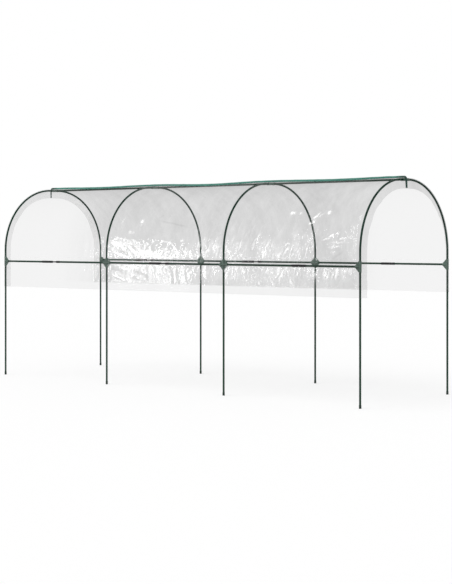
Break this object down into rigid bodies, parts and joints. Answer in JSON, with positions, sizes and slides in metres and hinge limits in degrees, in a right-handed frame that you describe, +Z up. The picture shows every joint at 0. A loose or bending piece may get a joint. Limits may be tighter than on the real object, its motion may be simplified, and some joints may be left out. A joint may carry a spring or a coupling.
{
  "type": "tunnel greenhouse",
  "caption": "Walk-through tunnel greenhouse: upright legs carry round tube hoops tied by rails, with a clear film cover over the top, open below and at both ends.",
  "frame": {"origin": "centre of the footprint, on the ground under the feet", "axes": "+X along the tunnel, +Z up, -Y the side nearest the viewer in the picture"},
  "size_m": [3.9692, 1.2252, 1.7104],
  "materials": {
    "green_tube": "dark green powder coat on thin steel tube, satin",
    "green_plastic": "sage green moulded plastic, matte",
    "black_plastic": "black moulded plastic, matte",
    "clear_film": "clear film with a milky haze, creased, glossy on the creases",
    "ridge_fabric": "teal green woven plastic tape, sewn"
  },
  "bodies": {
    "root": {"arch_tube_1_left": "green_tube", "arch_tube_1_right": "green_tube", "arch_tube_2_left": "green_tube", "arch_tube_2_right": "green_tube", "arch_tube_3_left": "green_tube", "arch_tube_3_right": "green_tube", "arch_tube_4_left": "green_tube", "arch_tube_4_right": "green_tube", "cover_film": "clear_film", "foot_cap_1_left": "black_plastic", "foot_cap_1_right": "black_plastic", "foot_cap_2_left": "black_plastic", "foot_cap_2_right": "black_plastic", "foot_cap_3_left": "black_plastic", "foot_cap_3_right": "black_plastic", "foot_cap_4_left": "black_plastic", "foot_cap_4_right": "black_plastic", "leg_1_left": "green_tube", "leg_1_right": "green_tube", "leg_2_left": "green_tube", "leg_2_right": "green_tube", "leg_3_left": "green_tube", "leg_3_right": "green_tube", "leg_4_left": "green_tube", "leg_4_right": "green_tube", "rail_coupler_1_left": "black_plastic", "rail_coupler_1_right": "black_plastic", "rail_coupler_2_left": "black_plastic", "rail_coupler_2_right": "black_plastic", "rail_coupler_3_left": "black_plastic", "rail_coupler_3_right": "black_plastic", "ridge_binding": "ridge_fabric", "ridge_connector_1": "green_plastic", "ridge_connector_2": "green_plastic", "ridge_connector_3": "green_plastic", "ridge_connector_4": "green_plastic", "ridge_rail_1": "green_tube", "ridge_rail_2": "green_tube", "ridge_rail_3": "green_tube", "side_connector_1_left": "green_plastic", "side_connector_1_right": "green_plastic", "side_connector_2_left": "green_plastic", "side_connector_2_right": "green_plastic", "side_connector_3_left": "green_plastic", "side_connector_3_right": "green_plastic", "side_connector_4_left": "green_plastic", "side_connector_4_right": "green_plastic", "side_rail_1_left_a": "green_tube", "side_rail_1_left_b": "green_tube", "side_rail_1_right_a": "green_tube", "side_rail_1_right_b": "green_tube", "side_rail_2_left_a": "green_tube", "side_rail_2_left_b": "green_tube", "side_rail_2_right_a": "green_tube", "side_rail_2_right_b": "green_tube", "side_rail_3_left_a": "green_tube", "side_rail_3_left_b": "green_tube", "side_rail_3_right_a": "green_tube", "side_rail_3_right_b": "green_tube"}
  },
  "joints": []
}
